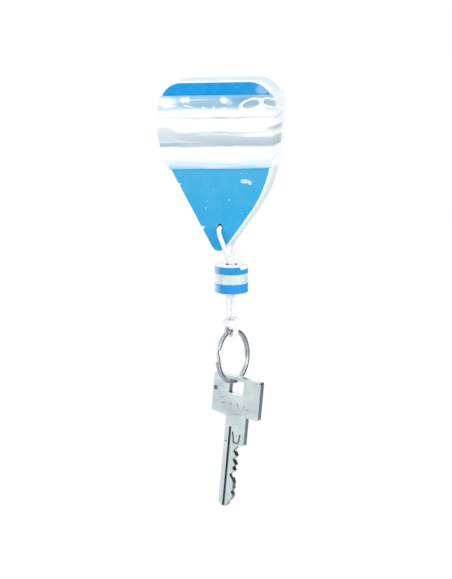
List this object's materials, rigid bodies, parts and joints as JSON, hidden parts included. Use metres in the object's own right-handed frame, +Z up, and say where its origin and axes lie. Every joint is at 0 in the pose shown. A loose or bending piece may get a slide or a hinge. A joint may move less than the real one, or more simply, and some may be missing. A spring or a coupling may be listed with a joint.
{
  "type": "floating keychain",
  "caption": "Drop-shaped foam float with a printed front on a thin cord, with a striped foam bead, a knot, a split ring and a cylinder key hanging below.",
  "frame": {"origin": "middle of the float's top edge, where it is held; the cord's hole is 67.1 mm straight below it", "axes": "+Z up along the hanging chain, -Y out of the float's printed front, +X to the float's right seen from the front"},
  "size_m": [0.058, 0.0246, 0.1985],
  "materials": {
    "white_foam": "matte",
    "blue_foam": "matte",
    "blue_print": "satin",
    "band_print": "gloss",
    "white_cord": "matte",
    "nickel_plate": "polished",
    "nickel_silver": "satin"
  },
  "bodies": {
    "float": {"float_body": "white_foam", "face_film": "blue_print", "wrap_band": "band_print"},
    "hanging_cord": {"cord": "white_cord", "ring_knot": "white_cord"},
    "bead": {"bead_top": "blue_foam", "bead_middle": "white_foam", "bead_bottom": "blue_foam"},
    "ring": {"split_ring": "nickel_plate"},
    "hanging_key": {"key": "nickel_silver"}
  },
  "joints": [
    {"name": "cord_swing", "type": "hinge", "parent": "float", "child": "hanging_cord", "pos_m": [0, 0, -0.0671], "axis": [0, -1, 0], "range_deg": [-60, 60], "deforming": ["cord"]},
    {"name": "bead_slide", "type": "slide", "parent": "hanging_cord", "child": "bead", "axis": [0.0767, 0, 0.9971], "range_m": [-0.0117, 0], "deforming": ["cord"]},
    {"name": "ring_swing", "type": "hinge", "parent": "hanging_cord", "child": "ring", "pos_m": [0.0004, 0, -0.11625], "axis": [-0.2419, -0.9703, 0], "range_deg": [-45, 45]},
    {"name": "key_swing", "type": "hinge", "parent": "ring", "child": "hanging_key", "pos_m": [0.0004, 0, -0.13975], "axis": [-0.2419, -0.9703, 0], "range_deg": [-60, 60]}
  ]
}
